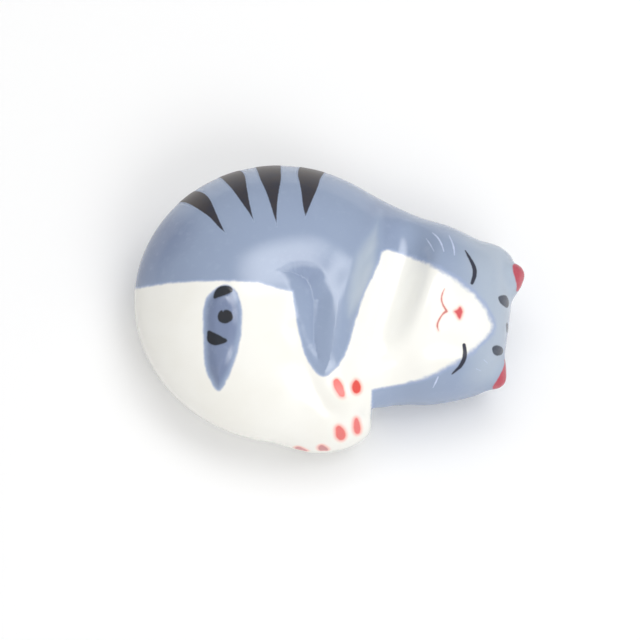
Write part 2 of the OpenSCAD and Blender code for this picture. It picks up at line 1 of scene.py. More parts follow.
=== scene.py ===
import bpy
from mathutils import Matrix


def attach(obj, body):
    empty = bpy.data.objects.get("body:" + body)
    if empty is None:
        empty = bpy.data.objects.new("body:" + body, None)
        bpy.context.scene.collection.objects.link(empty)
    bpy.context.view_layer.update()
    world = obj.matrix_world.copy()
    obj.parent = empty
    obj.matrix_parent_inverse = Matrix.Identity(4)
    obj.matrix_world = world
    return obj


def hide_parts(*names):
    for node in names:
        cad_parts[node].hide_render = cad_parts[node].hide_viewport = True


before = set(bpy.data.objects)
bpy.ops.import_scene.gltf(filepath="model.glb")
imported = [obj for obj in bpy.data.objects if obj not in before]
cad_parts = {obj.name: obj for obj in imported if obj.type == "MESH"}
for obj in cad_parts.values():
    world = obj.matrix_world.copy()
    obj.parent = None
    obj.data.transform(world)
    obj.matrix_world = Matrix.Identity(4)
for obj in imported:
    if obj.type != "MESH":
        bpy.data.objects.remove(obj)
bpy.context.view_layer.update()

# The camera. The rest is seen from in front of its paws and high above them, through a long
# lens, and stands a little right of and below the middle of the picture.
import math

import bpy
import numpy as np
import openvdb
from mathutils import Quaternion, Vector
from mathutils.geometry import tessellate_polygon

mm = 0.001
look_tilt = math.radians(65)
look_out = Vector((0, -math.cos(look_tilt), math.sin(look_tilt)))
look_up = Vector((0, math.sin(look_tilt), math.cos(look_tilt)))
look_from = 450
look_at = Vector((-1.2, -1.0, 9.5)) - look_up * 1.63
camera = bpy.data.objects.new("camera", bpy.data.cameras.new("camera"))
bpy.context.collection.objects.link(camera)
camera.location = (look_at + look_out * look_from) * mm
camera.rotation_mode = "QUATERNION"
camera.rotation_quaternion = look_out.to_track_quat("Z", "Y")
camera.data.sensor_width = 36
camera.data.lens = 163.3
camera.data.clip_start = 0.02
bpy.context.scene.camera = camera
bpy.context.scene.view_settings.view_transform = "Standard"


# The trunk. Porcelain clay, cast hollow in a mould. A lens-shaped torso with the haunch and
# the rounded back worked onto it. All forms are distances in mm from points, below zero inside.
def size(*lengths):
    return np.array(lengths, float)


def egg(p, at, lengths, turn=0):
    """The distance to an egg with these three lengths, turned about its upright axis."""
    c, s = math.cos(math.radians(turn)), math.sin(math.radians(turn))
    q = p - at
    half = lengths / 2
    u = np.stack([(q[:, 0] * c + q[:, 1] * s), (q[:, 1] * c - q[:, 0] * s), q[:, 2]], 1) / half
    k = np.linalg.norm(u, axis=1)
    return k * (k - 1) / np.maximum(np.linalg.norm(u / half, axis=1), 1e-9)


def join(a, b, soft):
    """Two forms as one, with a fillet that is about as wide as soft."""
    return np.minimum(a, b) - np.maximum(soft - np.abs(a - b), 0) ** 2 / (4 * soft)


def carve(a, b, soft):
    """The form a with the form b cut out of it, with an edge rounded about as wide as soft."""
    return -join(-a, b, soft)


torso_at = size(-6.8, 0.2, 9.3)
torso_size = size(46.8, 45.2, 24)


def on_torso(x, y, z):
    return torso_at + size(x, y, z) * torso_size


def trunk(p):
    torso = egg(p, torso_at, torso_size, -36)
    haunch = egg(p, on_torso(-0.075, -0.106, 0.037), size(30.4, 24.8, 22.8), -24)
    back = egg(p, on_torso(-0.021, 0.102, 0.071), size(30, 27.2, 21.2), -12)
    return join(join(torso, haunch, 4), back, 6)


# The head, with its neck. Porcelain clay, cast hollow and luted to the trunk. A skull with a
# cheek below it and a brow in front, and the shoulder that the neck grows from. The saddle for
# the chopsticks is pressed in across the join.
head_at = size(torso_at[0] + 0.483 * torso_size[0], torso_at[1] - 0.040 * torso_size[1], 9.6)
head_size = size(20, 27.6, 21.2)
head_turn = -9
seam_at = on_torso(0.303, 0.062, 0)
saddle_turn = -15


def turned(v, degrees):
    c, s = math.cos(math.radians(degrees)), math.sin(math.radians(degrees))
    return size(v[0] * c - v[1] * s, v[0] * s + v[1] * c, v[2])


def on_head(x, y, z):
    return head_at + turned(size(x, y, z) * head_size, head_turn)


def clay(p):
    """Trunk and head as one form, before the limbs are put on."""
    skull = egg(p, head_at, head_size, -14)
    cheek = egg(p, on_head(-0.042, -0.269, -0.057), size(23.6, 10.8, 16), head_turn)
    brow = egg(p, on_head(0.387, 0.03, 0), size(8.2, 21.6, 15.2), head_turn)
    neck = egg(p, on_torso(0.284, 0.049, -0.079), size(26, 30, 16), saddle_turn)
    temple = egg(p, on_head(0.449, 0.308, 0.033), size(5.8, 5.6, 6))
    saddle = egg(p, size(seam_at[0] + 3.5, seam_at[1], 24.3), size(10.6, 68, 17.2), saddle_turn)
    head = join(join(join(join(skull, cheek, 4.5), brow, 4.5), temple, 2.5), neck, 6)
    shoulder = egg(p, size(3.5, -3.4, 9), size(14.6, 35.5, 23), saddle_turn)
    return carve(join(join(trunk(p), shoulder, 3), head, 3), saddle, 2)


# The limbs, the ears and the tail. Solid porcelain clay. Paws and ears are pads that are luted
# on and smoothed in, and the tail and the foreleg are low strips pressed onto the trunk, each
# inside an outline that is drawn as seen from one side.
def outlook(at, azimuth, elevation, spin=0):
    """A side to draw from: its middle, rightwards, upwards and towards the eye."""
    a, e, s = (math.radians(x) for x in (azimuth, elevation, spin))
    out = size(math.cos(e) * math.cos(a), math.cos(e) * math.sin(a), math.sin(e))
    level = size(-math.sin(a), math.cos(a), 0)
    rise = np.cross(out, level)
    return at, level * math.cos(s) + rise * math.sin(s), rise * math.cos(s) - level * math.sin(s), out


def drawn_in(view, p):
    """Where places lie in a drawing made from that side."""
    q = p - view[0]
    return np.stack([q @ view[1], q @ view[2]], 1)


def smoothed(points, steps=6, closed=True):
    """A flowing line through the points, with so many steps between each two."""
    points = np.array(points, float)
    ring = np.concatenate([points[-1:], points, points[:2]]) if closed else np.concatenate(
        [points[:1] * 2 - points[1:2], points, points[-1:] * 2 - points[-2:-1]])
    t = np.arange(steps)[:, None] / steps
    curve = []
    for i in range(1, len(ring) - 2):
        a, b, c, d = ring[i - 1:i + 3]
        curve.append(((2 * b) + (c - a) * t + (2 * a - 5 * b + 4 * c - d) * t ** 2
                      + (3 * b - a - 3 * c + d) * t ** 3) / 2)
    return np.concatenate(curve + ([] if closed else [points[-1:]]))


def from_line(q, line, closed=True):
    """Distance to a drawn line, and for a closed one below zero inside it."""
    nearest = np.full(len(q), 1e9)
    inside = np.zeros(len(q), bool)
    for a, b in zip(line, np.roll(line, -1, 0) if closed else line[1:]):
        d = b - a
        t = np.clip((q - a) @ d / max(d @ d, 1e-12), 0, 1)
        nearest = np.minimum(nearest, np.linalg.norm(q - a - t[:, None] * d, axis=1))
        if closed:
            crosses = (a[1] > q[:, 1]) != (b[1] > q[:, 1])
            at = a[0] + (q[:, 1] - a[1]) * d[0] / (d[1] if abs(d[1]) > 1e-9 else 1e-9)
            inside ^= crosses & (q[:, 0] < at)
    return np.where(inside, -nearest, nearest) if closed else nearest


def from_brush(q, path, halves):
    """Distance to the edge of a brush line that has these half widths along it, below zero in it."""
    nearest = np.full(len(q), 1e9)
    halves = np.interp(np.linspace(0, 1, len(path)), np.linspace(0, 1, len(halves)), halves)
    for a, b, h, k in zip(path, path[1:], halves, halves[1:]):
        d = b - a
        t = np.clip((q - a) @ d / max(d @ d, 1e-12), 0, 1)
        nearest = np.minimum(nearest, np.linalg.norm(q - a - t[:, None] * d, axis=1) - h - (k - h) * t)
    return nearest


body_view = outlook(torso_at, -90, 65)
tail_outline = smoothed([
    (-8.84, 2.54), (-10.48, 1.71), (-11.39, 0.66), (-11.84, -0.78), (-11.92, -2.88),
    (-11.85, -5.59), (-11.77, -8.15), (-11.45, -10.26), (-10.75, -11.9), (-9.69, -13.3),
    (-8.51, -11.62), (-7.27, -8.74), (-6.51, -5.58), (-6.22, -2.88), (-6.38, -0.33), (-7.2, 1.78)])
foreleg_outline = smoothed([
    (2.4, 4.4), (1.6, 2.3), (1.6, 0.9), (1.89, -0.78), (2.34, -3.63), (2.79, -5.59), (3.39, -7.69),
    (4.44, -9.65), (5.95, -11.02), (7.7, -10.1), (9.0, -8.3), (9.75, -6.6), (10.25, -4.91), (10.75, -3.09),
    (11.4, -1.11), (11.85, 0.43), (12.1, 2.0), (11.5, 4.2), (7, 5.2)])
foreleg_ridge = smoothed([
    (3.6, 9), (4.3, 4.5), (4.8, 1.5), (5.0, -1.5), (5.1, -4), (5.2, -6.5), (5.5, -8.8), (5.95, -11.02),
    (7.7, -10.1), (9.0, -8.3), (9.75, -6.6), (10.25, -4.91), (10.75, -3.09), (11.4, -1.11), (12.2, 1.0),
    (13.4, 4.5), (14.4, 9)])
hollow_path = smoothed([(-1.2, 4.9), (1.6, 4.5), (3.7, 3.2), (4.6, 0.5), (4.6, -3), (4.8, -6), (5.4, -8.6)],
                       4, closed=False)
hollow_halves = (-1.6, 0.2, 1.5, 1.4, 0.7, 0.3, -0.6)
crease_line = smoothed([(1.89, -4.08), (2.94, -7.39), (3.99, -11.01), (5.34, -14.04), (8.22, -17.37)],
                       closed=False)
forepaw_at = torso_at + size(9.36, -15.59, 2.64)
hind_paw_at = torso_at + size(6.41, -19.62, -1.58)
right_ear_at = on_head(0.494, 0.2, 0.113)
left_ear_at = on_head(0.467, -0.264, -0.038)
vent_at = torso_at + size(-9.36, 0, 0)
vent_radius, vent_depth = 1.7, 6
glaze_coat = 0.12


def dome(inward, width):
    """Rises softly from 0 to 1 over this width."""
    t = np.clip(inward / width, 0, 1)
    return t * t * (3 - 2 * t)


def near_side(p, view):
    return (p - view[0]) @ view[3] > 0


def near_drawing(p, middle, reach, away):
    """What away says for places near something drawn on the body, and a far 9 mm for others."""
    r = np.full(len(p), 9.0)
    some = near_side(p, body_view)
    some[some] = (np.abs(drawn_in(body_view, p[some]) - middle) < reach).all(1)
    r[some] = away(drawn_in(body_view, p[some]))
    return r


def tail_depth(p):
    return near_drawing(p, (-9, -5.4), (5, 10), lambda q: from_line(q, tail_outline))


def foreleg_depth(p):
    return near_drawing(p, (7, -3), (8, 10), lambda q: from_line(q, foreleg_outline))


def foreleg_rise(p):
    r = near_drawing(p, (7, -2), (8, 10), lambda q: from_line(q, foreleg_ridge))
    return 0.85 * dome(-r, 4.4) * dome(6 - drawn_in(body_view, p)[:, 1], 9)


def lap_hollow(p):
    r = near_drawing(p, (4, -1), (8, 10), lambda q: from_brush(q, hollow_path, hollow_halves))
    return 0.85 * dome(-r + 1.8, 3.8)


def crease(p):
    r = near_drawing(p, (5, -11), (7, 10), lambda q: from_line(q, crease_line, closed=False))
    return 0.28 * np.exp(-(r / 1.3) ** 2)


def forepaw_form(p):
    return egg(p, forepaw_at, size(8.8, 9.2, 8.8))


def hind_paw_form(p):
    return egg(p, hind_paw_at - (0, 0, 0.42), size(14.8, 7.8, 11.6), 6)


def ear_form(p, at, turn):
    side = math.copysign(1, turn)
    pad = egg(p, at, size(6.6, 5.8, 5.6), turn)
    ridge = egg(p, at + turned(size(1.7, 0.4 * side, 0.1), turn), size(4.2, 3.2, 3.6), turn)
    tip = egg(p, at + turned(size(2.75, 0.5 * side, 0.1), turn), size(2.2, 1.7, 2.2), turn)
    return join(join(pad, ridge, 1.5), tip, 1.2)


def right_ear_form(p):
    return ear_form(p, right_ear_at, head_turn + 30)


def left_ear_form(p):
    return ear_form(p, left_ear_at, head_turn - 30)


def porcelain(p):
    """The fired form as a distance: below zero in the clay, zero on the skin of the glaze."""
    tail_rise = 0.5 * dome(-tail_depth(p), 2.0)
    f = clay(p) - tail_rise - foreleg_rise(p) + lap_hollow(p) + crease(p)
    soft = 1.8 - 1.45 * dome(p[:, 0] - 3.2, 2.8)
    f = join(f, forepaw_form(p), soft)
    f = join(f, hind_paw_form(p), soft)
    u, v = drawn_in(body_view, p).T
    corner_by_cheek = np.maximum.reduce([13.4 - u, v + 15.95, u - 17.5])
    f = carve(f, corner_by_cheek, 0.7)
    f = join(f, right_ear_form(p), 1.2)
    f = join(f, left_ear_form(p), 1.2)
    f = f - glaze_coat
    f = carve(f, p[:, 2], 0.8)
    beside_vent = np.hypot(p[:, 0] - vent_at[0], p[:, 1] - vent_at[1])
    return carve(f, np.maximum(beside_vent - vent_radius, p[:, 2] - vent_depth), 0.5)


# The clay pieces in their places. The form becomes one skin of small facets, which is then
# parted along the lines where the pieces were luted together, so that they meet without a step.
def slopes(p, step=0.04):
    """Which way the form falls away, at each place."""
    return np.stack([(porcelain(p + d) - porcelain(p - d)) / (2 * step) for d in np.eye(3) * step], 1)


def settle(p, rounds):
    """Brings places near the skin onto it."""
    for _ in range(rounds):
        g = slopes(p)
        p = p - porcelain(p)[:, None] * g / np.maximum((g * g).sum(1), 0.05)[:, None]
    return p


def skin(low, high, cell):
    """The form's outside between two corners, as even facets of about this size."""
    counts = np.ceil((high - low) / cell).astype(int) + 1
    field = np.empty(counts, np.float32)
    y, z = np.meshgrid(np.arange(counts[1]), np.arange(counts[2]), indexing="ij")
    for i in range(counts[0]):
        p = low + cell * np.stack([np.full(y.size, i), y.ravel(), z.ravel()], 1)
        field[i] = porcelain(p).reshape(y.shape)
    grid = openvdb.FloatGrid()
    grid.copyFromArray(field)
    points, quads = grid.convertToQuads(isovalue=0.0)
    points = low + points.astype(float) * cell
    edges = np.unique(np.sort(np.concatenate([quads[:, [k, (k + 1) % 4]] for k in range(4)]), 1), axis=0)
    degree = np.bincount(edges.ravel(), minlength=len(points))[:, None]
    for _ in range(4):
        total = np.zeros_like(points)
        np.add.at(total, edges[:, 0], points[edges[:, 1]])
        np.add.at(total, edges[:, 1], points[edges[:, 0]])
        points = settle(points + (total / degree - points) * 0.6, 1)
    points = settle(points, 2)
    short = (np.linalg.norm(points[quads[:, 0]] - points[quads[:, 2]], axis=1)
             <= np.linalg.norm(points[quads[:, 1]] - points[quads[:, 3]], axis=1))[:, None]
    first = np.where(short, quads[:, [0, 1, 2]], quads[:, [0, 1, 3]])
    second = np.where(short, quads[:, [0, 2, 3]], quads[:, [1, 2, 3]])
    return points, np.concatenate([first, second]).astype(np.int64)


def to_skin(a, b, fresh):
    """Settles fresh points between a and b, where both of these are on the skin."""
    on_skin = (np.abs(porcelain(a)) < 0.05) & (np.abs(porcelain(b)) < 0.05)
    fresh[on_skin] = settle(fresh[on_skin], 1)
    return fresh


def part_along(points, facets, r, placed=to_skin):
    """Cuts facets where r passes zero, and says which of them lie below it."""
    r = np.where(np.abs(r) < 0.015, 0.0, r)
    s = np.sign(r[facets])
    crossed = (s.min(1) < 0) & (s.max(1) > 0)
    kept, cut = facets[~crossed], facets[crossed]
    sides = np.concatenate([cut[:, [0, 1]], cut[:, [1, 2]], cut[:, [2, 0]]])
    sides = np.sort(sides[r[sides[:, 0]] * r[sides[:, 1]] < 0], 1)
    keys = np.unique(sides[:, 0] * len(points) + sides[:, 1])
    a, b = keys // len(points), keys % len(points)
    t = (r[a] / (r[a] - r[b]))[:, None]
    fresh = placed(points[a], points[b], points[a] * (1 - t) + points[b] * t)

    def between(i, j):
        return len(points) + np.searchsorted(keys, np.minimum(i, j) * len(points) + np.maximum(i, j))

    made = []
    through = (s[crossed] == 0).any(1)
    for k in range(3):
        i, j, l = cut[:, k], cut[:, (k + 1) % 3], cut[:, (k + 2) % 3]
        some = through & (r[i] == 0)
        m = between(j[some], l[some])
        made += [np.stack([i[some], j[some], m], 1), np.stack([i[some], m, l[some]], 1)]
        alone = ~through & (np.sign(r[i]) != np.sign(r[j])) & (np.sign(r[i]) != np.sign(r[l]))
        m, n = between(i[alone], j[alone]), between(i[alone], l[alone])
        made += [np.stack([i[alone], m, n], 1), np.stack([m, j[alone], l[alone]], 1),
                 np.stack([m, l[alone], n], 1)]
    points = np.concatenate([points, fresh])
    facets = np.concatenate([kept] + made)
    r = np.concatenate([r, np.zeros(len(fresh))])
    return points, facets, r[facets].sum(1) < 0


def lift_out(points, facets, r, deep):
    """Takes the piece inside r = 0 out, and closes both with the same cone to a deep point."""
    points, facets, inside = part_along(points, facets, r)
    piece, rest = facets[inside], facets[~inside]
    sides = np.concatenate([piece[:, [0, 1]], piece[:, [1, 2]], piece[:, [2, 0]]])
    one_way = set(map(tuple, sides))
    rim = np.array([e for e in one_way if (e[1], e[0]) not in one_way])
    points = np.concatenate([points, [deep]])
    tip = np.full(len(rim), len(points) - 1)
    piece = np.concatenate([piece, np.stack([rim[:, 1], rim[:, 0], tip], 1)])
    rest = np.concatenate([rest, np.stack([rim[:, 0], rim[:, 1], tip], 1)])
    return points, piece, rest


def used_only(points, facets):
    """The facets with only the points that they use."""
    used, index = np.unique(facets, return_inverse=True)
    return points[used], index.reshape(facets.shape)


def open_rim(facets):
    """The open edges of facets, from each point on the rim to the next."""
    sides = np.concatenate([facets[:, [0, 1]], facets[:, [1, 2]], facets[:, [2, 0]]])
    one_way = set(map(tuple, sides.tolist()))
    return {a: b for a, b in one_way if (b, a) not in one_way}


def part_at_seam(points, facets):
    """Parts trunk from head on the seam's plane, and closes each with the same flat face."""
    out = turned(size(1, 0, 0), saddle_turn)
    points, facets, trunk_side = part_along(points, facets, (points - seam_at) @ out)
    body, head = facets[trunk_side], facets[~trunk_side]
    after = open_rim(body)
    loops = []
    while after:
        a, b = after.popitem()
        loop = [a, b]
        while loop[-1] in after:
            loop.append(after.pop(loop[-1]))
        loops.append(loop[:-1])
    across = np.stack([points @ turned(size(0, 1, 0), saddle_turn), points[:, 2]], 1)
    flat = [[Vector((*across[i], 0)) for i in loop] for loop in loops]
    face = np.concatenate([np.array(loop) for loop in loops])[np.array(tessellate_polygon(flat))]
    q = across[face]
    u, v = q[:, 1] - q[:, 0], q[:, 2] - q[:, 0]
    wrong = u[:, 0] * v[:, 1] - u[:, 1] * v[:, 0] < 0
    face[wrong] = face[wrong][:, ::-1]
    return points, np.concatenate([body, face]), np.concatenate([head, face[:, ::-1]])


points, facets = skin(size(-31, -25, -1), size(31, 25, 24.4), 0.27)
regions = {
    "tail": (tail_depth, torso_at + size(-8.5, -6, 1)),
    "foreleg": (foreleg_depth, torso_at + size(6.2, -4.5, 0)),
    "right_ear": (lambda p: right_ear_form(p) - 0.35, right_ear_at - size(4, 0, 0)),
    "left_ear": (lambda p: left_ear_form(p) - 0.35, left_ear_at - size(4, 0, 0)),
    "forepaw": (lambda p: np.maximum(forepaw_form(p) - 0.55, 0.4 - foreleg_depth(p)),
                forepaw_at + size(-0.5, 2.5, -2)),
    "hind_paw": (lambda p: np.maximum(hind_paw_form(p) - 0.55, 1.0 - forepaw_form(p)),
                 hind_paw_at + size(-0.5, 3.5, 0)),
}
skins = {}
for name, (region, deep) in regions.items():
    points, piece, facets = lift_out(points, facets, region(points), deep)
    skins[name] = used_only(points, piece)
points, body_facets, head_facets = part_at_seam(points, facets)
skins["body"] = used_only(points, body_facets)
skins["head"] = used_only(points, head_facets)


# The glaze. Blue stain sprayed on the back, the head, the tail and the foreleg, and clear glaze over all,
# fired glossy. The stain bleeds a little at its edges and pools in the hollows, where shade is also painted
# darker into the blue and the white; more painted shade lies on the far left flank and the saddle's wall, and
# a painted highlight runs down the foreleg's right edge.
# The red marks' outlines stand here too, since their enamel tints the glaze round them.
belly_outline = np.array([
    (-37.4, 0.9), (-23.33, 2.26), (-22.49, 2.32), (-17.71, 3.04), (-12.52, 3.31), (-7.63, 3.37),
    (-3.69, 3.14), (-0.83, 2.23), (1.56, 1.64), (11, 1.0), (12.6, -8), (13.5, -11.5), (13.5, -40),
    (-37.4, -40)])
face_view = outlook(head_at, -90, 65, -8.2)
face_outline = smoothed([
    (-8.75, 8.2), (-7.9, 8.72), (-6.71, 8.6), (-4.66, 8.2), (-2.86, 7.8), (-1.7, 7.48), (0.28, 6.68),
    (2.52, 5.75), (4.59, 4.7), (6.28, 3.61), (7.84, 2.1), (9.19, 0.19), (9.6, -0.89), (9.21, -2.11),
    (8.03, -3.51), (6.5, -5.4), (4.5, -7.18), (2.78, -8.47), (0.69, -9.83), (-1.22, -10.75),
    (-3.24, -11.57), (-5.46, -12.26), (-7.5, -13.0), (-12, -14.5), (-15, -14), (-13.5, -10),
    (-12.12, -7.48), (-11.83, -5.14), (-11.63, -3.27), (-11.22, -1.21), (-10.9, 0.39), (-10.5, 2.0),
    (-9.72, 4.3), (-9.1, 6.59)], 4)


def bare_of_stain(p):
    """How far a place is outside the blue, and below zero in it."""
    belly = -from_line(drawn_in(body_view, p), belly_outline)
    face = -from_line(drawn_in(face_view, p), face_outline)
    paws = clay(p) - np.minimum(forepaw_form(p), hind_paw_form(p)) - 0.1
    bare = np.maximum(np.maximum(belly, face), paws)
    bare = np.minimum(np.minimum(bare, tail_depth(p)), foreleg_depth(p))
    return bare / (1 + 1.3 * dome(p[:, 0] - 8, 12))


# The path of a painted highlight: a paler strip down the foreleg's right edge that stands for the window
# box's reflection.
foreleg_sheen_path = smoothed([(15.3, 15.5), (14.5, 12.5), (13.6, 9.3), (12.6, 6.4), (11.7, 3.6), (10.8, 0.8),
                      (9.9, -2)], 4, closed=False)


def stain_and_painted_light(p):
    """How dark the blue is made: above zero on the tail, where it lies thick, and as painted shade on the far
    left flank, in the lap hollow and on the saddle's wall; below zero at the brow, and as a painted highlight
    down the foreleg's right edge.
    """
    def patch(x, y, z, reach):
        return np.exp(-(((p - (x, y, z)) / reach) ** 2).sum(1))
    # Darker on the tail, where the blue lies thick, and painted shade on the far left flank.
    load_and_light = 0.9 * patch(-26, 7, 10, (8, 9, 12)) + 0.85 * dome(-tail_depth(p), 1)
    # Painted shade in the lap hollow and on the saddle's wall beside the head.
    load_and_light += 0.5 * patch(-2.5, 0.5, 20, (4, 4, 6)) + 0.35 * patch(9, 9, 13, (3.5, 12, 9))
    # Painted highlight: paler along the foreleg's right edge, on the near side only.
    from_sheen = from_brush(drawn_in(body_view, p), foreleg_sheen_path, (-0.9, -0.1, 0.6, 1.2, 1.2, 0.8, -0.4))
    load_and_light -= 1.3 * dome(1.6 - from_sheen, 3) * near_side(p, body_view)
    return load_and_light - 0.9 * dome(p[:, 0] - 16, 10) * dome(p[:, 2] - 6, 8)


def hollow(p, reach=1.6):
    """How far the skin dips at a place: above zero in hollows and below it on ridges."""
    around = sum(porcelain(p + d) for d in np.concatenate([np.eye(3), -np.eye(3)]) * reach)
    return (6 * porcelain(p) - around) / reach ** 2


def tint(red, green, blue):
    """A colour as it looks on a screen, turned into the shader's own numbers."""
    return tuple(c / 12.92 if c < 0.04045 else ((c + 0.055) / 1.055) ** 2.4
                 for c in (red / 255, green / 255, blue / 255)) + (1.0,)


def glazed(name, enamel=None, warm=None, melt=0.1, dull=False):
    """A fired glaze over the blue and the clay, with painted shade and a painted highlight in their colour,
    and an enamel on it where the piece is a brush mark.
    """
    material = bpy.data.materials.new(name)
    material.use_nodes = True
    tree = material.node_tree
    nodes, links = tree.nodes, tree.links
    shader = nodes["Principled BSDF"]

    def put(kind, inputs=(), **settings):
        node = nodes.new(kind)
        for key, value in settings.items():
            setattr(node, key, value)
        for key, value in inputs:
            if isinstance(value, bpy.types.NodeSocket):
                links.new(value, node.inputs[key])
            else:
                node.inputs[key].default_value = value
        return node

    def speckle(scale, detail=2.0, rough=0.5):
        return put("ShaderNodeTexNoise", [("Vector", place), ("Scale", scale), ("Detail", detail),
                                          ("Roughness", rough)]).outputs["Fac"]

    def sum_of(a, b, times=1.0):
        return put("ShaderNodeMath", [(0, b), (1, times), (2, a)], operation="MULTIPLY_ADD").outputs[0]

    def step(value, low, high, to_low=0.0, to_high=1.0):
        node = put("ShaderNodeMapRange", [("Value", value), ("From Min", low), ("From Max", high),
                                          ("To Min", to_low), ("To Max", to_high)],
                   interpolation_type="SMOOTHSTEP")
        return node.outputs["Result"]

    def mixed(share, first, second):
        node = put("ShaderNodeMix", [(0, share), (6, first), (7, second)], data_type="RGBA")
        return node.outputs[2]

    def read(attribute):
        return put("ShaderNodeAttribute", attribute_name=attribute).outputs["Fac"]

    place = put("ShaderNodeTexCoord").outputs["Object"]
    height = put("ShaderNodeSeparateXYZ", [(0, place)]).outputs["Z"]
    bare = sum_of(read("bare"), sum_of(speckle(900.0), -0.5), 0.34)
    cloudy = speckle(95.0, 3.0)
    fine = speckle(700.0, 4.0, 0.65)
    dip = sum_of(read("dip"), sum_of(cloudy, -0.5), 0.25)
    load_and_light = sum_of(read("load_and_light"), sum_of(cloudy, -0.5), 0.9)
    # The blue is darker on the tail, where it lies thick, and with painted shade on the far left flank, in
    # the lap hollow and on the saddle's wall; it is paler at the brow and along a painted highlight down the
    # foreleg's right edge.
    blue_with_painted_light = mixed(step(load_and_light, 0.0, 1.1), tint(149, 164, 190), tint(120, 133, 163))
    blue_with_painted_light = mixed(step(load_and_light, 0.0, -1.1), blue_with_painted_light, tint(175, 187, 202))
    # In hollows the blue pools and shade is painted darker into it; on ridges the glaze breaks and pales.
    blue_with_painted_light = mixed(step(dip, 0.1, 0.8, 0.0, 0.45), blue_with_painted_light, tint(122, 137, 168))
    blue_with_painted_light = mixed(step(dip, -0.3, -1.0, 0.0, 0.8), blue_with_painted_light, tint(176, 185, 203))
    blue_with_painted_light = mixed(step(fine, 0.5, 0.75, 0.0, 0.25), blue_with_painted_light, tint(163, 176, 200))
    clay = mixed(step(cloudy, 0.4, 0.7, 0.0, 0.6), tint(248, 247, 241), tint(243, 241, 233))
    # Painted shade: the white clay is greyed in hollows and creases.
    clay = mixed(step(dip, 0.05, 0.7, 0.0, 0.5), clay, tint(228, 228, 222))
    edge = mixed(step(bare, -0.35, 0.0), blue_with_painted_light, tint(160, 174, 203))
    ground = mixed(step(bare, -0.1, 0.32), edge, clay)
    blush = read("blush")
    ground = mixed(step(blush, 0.0, 1.0, 0.0, 0.75), ground, tint(252, 178, 165))
    if enamel is not None:
        inside = sum_of(read("inside"), sum_of(speckle(1600.0), -0.5), 0.1)
        # On the dull stripe enamel the colour turns warmer low down, towards the foot.
        warmer_below = step(height, 0.021, 0.014, 0.0, 0.8) if dull else 0.0
        warmer = sum_of(warmer_below, step(fine, 0.3, 0.7, 0.0, 0.5))
        thick = mixed(warmer, enamel, warm)
        ground = mixed(step(inside, -melt, melt), ground, thick)
    foot = step(height, 0.00045, 0.00012)
    links.new(mixed(foot, ground, tint(222, 217, 206)), shader.inputs["Base Color"])
    shader.inputs["Specular IOR Level"].default_value = 0.28 if dull else 0.5
    links.new(step(foot, 0.0, 1.0, 0.3 if dull else 0.08, 0.65), shader.inputs["Roughness"])
    ripple = put("ShaderNodeBump", [("Strength", 0.35), ("Distance", 0.00003),
                                    ("Height", sum_of(speckle(210.0, 1.0), fine, 0.05))])
    links.new(ripple.outputs["Normal"], shader.inputs["Normal"])
    shader.inputs["IOR"].default_value = 1.46
    return material


forepaw_view = outlook(forepaw_at, -90, 65)
hind_paw_view = outlook(hind_paw_at, -90, 65)
side_view = outlook(hind_paw_at, -90, 12)
toe_outlines = {
    "forepaw_toes": (forepaw_view, [
        [(-1.77, 1.04), (-1.57, 1.46), (-1.2, 1.57), (-0.75, 1.19), (-0.37, 0.59), (-0.12, -0.16),
         (0.0, -0.84), (-0.22, -1.17), (-0.75, -1.09), (-1.2, -0.54), (-1.62, 0.21)],
        [(1.67, 1.34), (2.04, 1.11), (2.35, 0.5), (2.35, -0.17), (2.12, -0.55), (1.69, -0.69),
         (1.24, -0.43), (1.03, 0.14), (1.14, 0.81), (1.44, 1.22)]]),
    "hind_paw_toes": (hind_paw_view, [
        [(1.56, -0.51), (1.84, -0.18), (2.21, -0.21), (2.75, -0.68), (3.06, -1.47), (2.95, -2.1),
         (2.53, -2.41), (2.07, -2.32), (1.69, -1.92), (1.54, -1.13)],
        [(4.64, 1.02), (4.94, 0.83), (5.18, 0.21), (5.34, -0.58), (5.24, -1.28), (4.81, -1.51),
         (4.43, -1.18), (4.27, -0.55), (4.29, 0.23), (4.41, 0.77)]]),
    "side_paw_toes": (side_view, [
        [(-4.62, -1.27), (-4.3, -0.66), (-3.9, -0.6), (-3.45, -0.96), (-2.9, -1.66), (-2.75, -2.3),
         (-3.3, -2.25), (-4.1, -1.95), (-4.55, -1.75)],
        [(-0.99, -0.1), (-0.58, 0.33), (-0.05, -0.2), (0.38, -1.1), (0.34, -1.9), (-0.2, -1.8),
         (-0.81, -1.7), (-1.04, -0.93)]])}
nose_outline = smoothed([(3.22, 0.64), (3.69, 1.05), (4.0, 1.45), (4.29, 1.28), (4.52, 0.85), (4.47, 0.28),
                         (4.25, -0.37), (3.94, -0.2), (3.6, 0.28)])


def stroke(halves, *points, steps=5):
    """A brush line through these points, with half widths along it."""
    return smoothed(points, steps, closed=False), halves


mouth_paths = [
    stroke((0.03, 0.1, 0.12, 0.13, 0.15, 0.2),
           (1.31, 3.83), (1.09, 3.03), (1.08, 2.17), (1.43, 1.36), (1.9, 0.76), (2.06, 0.5)),
    stroke((0.2, 0.14, 0.12, 0.13, 0.13, 0.03),
           (2.06, 0.5), (1.61, 0.05), (1.23, -0.67), (1.0, -1.37), (0.99, -1.95), (1.26, -2.57))]


def from_any(shapes):
    """The distance to the nearest of some outlines and brush lines, as a function of a place."""
    return lambda q: np.minimum.reduce([
        from_line(q, smoothed(shape, 4)) if isinstance(shape, list) else from_brush(q, *shape)
        for shape in shapes])


red_marks = [(view, from_any(outlines), 0.42, 0.85) for view, outlines in toe_outlines.values()]
red_marks += [(face_view, lambda q: from_line(q, nose_outline), 0.4, 0.7),
              (face_view, from_any(mouth_paths), 0.3, 0.5)]


